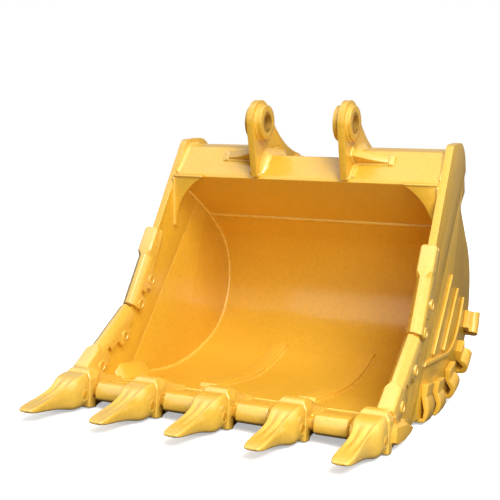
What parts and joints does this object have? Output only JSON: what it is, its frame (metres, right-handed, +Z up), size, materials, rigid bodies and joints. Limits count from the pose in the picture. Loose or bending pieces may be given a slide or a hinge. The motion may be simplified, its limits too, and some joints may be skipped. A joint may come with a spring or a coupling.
{
  "type": "excavator bucket",
  "caption": "Severe-duty rock bucket for a hydraulic excavator: welded scoop with pin-on ears, replaceable teeth, lip and heel shrouds, side cutters and wear bars.",
  "frame": {"origin": "on the stick-pin axis, midway between the two ears", "axes": "+X along the stick pin to the bucket's right as seen from its open side, -Y towards the teeth, +Z up with the bucket standing on its teeth and heel"},
  "size_m": [1.7376, 2.1433, 1.6223],
  "materials": {
    "plate_paint": "satin gloss",
    "ear_paint": "satin gloss",
    "wear_paint": "satin gloss",
    "cast_paint": "satin gloss",
    "tooth_paint": "satin gloss",
    "pin_paint": "satin gloss",
    "bush_steel": "overspray over turned steel"
  },
  "bodies": {
    "root": {"lip_plate": "plate_paint", "floor_wrapper": "plate_paint", "back_plate": "plate_paint", "torque_tube_front_plate": "plate_paint", "torque_tube_rear_plate": "plate_paint", "torque_tube_saddle": "plate_paint", "side_bar_right": "plate_paint", "side_bar_left": "plate_paint", "side_plate_right": "plate_paint", "side_plate_left": "plate_paint", "corner_gusset_right": "plate_paint", "corner_gusset_left": "plate_paint", "ear_right": "ear_paint", "ear_left": "ear_paint", "ear_brace_right": "ear_paint", "ear_brace_left": "ear_paint", "stick_pin_boss_right": "ear_paint", "stick_pin_boss_left": "ear_paint", "link_pin_boss_right": "ear_paint", "link_pin_boss_left": "ear_paint", "floor_wear_straps": "wear_paint", "inner_floor_straps": "wear_paint", "lip_corner_gussets": "wear_paint", "side_wear_bars_right": "wear_paint", "side_wear_bars_left": "wear_paint", "side_wear_arc_right": "wear_paint", "side_wear_arc_left": "wear_paint", "lip_corner_shroud_right": "wear_paint", "lip_corner_shroud_left": "wear_paint", "heel_shroud_1_right": "wear_paint", "heel_shroud_1_left": "wear_paint", "heel_shroud_2_right": "wear_paint", "heel_shroud_2_left": "wear_paint", "heel_shroud_3_right": "wear_paint", "heel_shroud_3_left": "wear_paint", "heel_shroud_4_right": "wear_paint", "heel_shroud_4_left": "wear_paint", "heel_shroud_5_right": "wear_paint", "heel_shroud_5_left": "wear_paint", "side_cutter_upper_right": "cast_paint", "side_cutter_upper_left": "cast_paint", "side_cutter_lower_right": "cast_paint", "side_cutter_lower_left": "cast_paint", "adapter_1": "cast_paint", "adapter_2": "cast_paint", "adapter_3": "cast_paint", "adapter_4": "cast_paint", "adapter_5": "cast_paint", "lip_shroud_1": "cast_paint", "lip_shroud_2": "cast_paint", "lip_shroud_3": "cast_paint", "lip_shroud_4": "cast_paint", "tooth_1": "tooth_paint", "tooth_2": "tooth_paint", "tooth_3": "tooth_paint", "tooth_4": "tooth_paint", "tooth_5": "tooth_paint", "side_cutter_pins": "pin_paint", "tooth_retainers": "pin_paint", "pin_bushes": "bush_steel"}
  },
  "joints": []
}
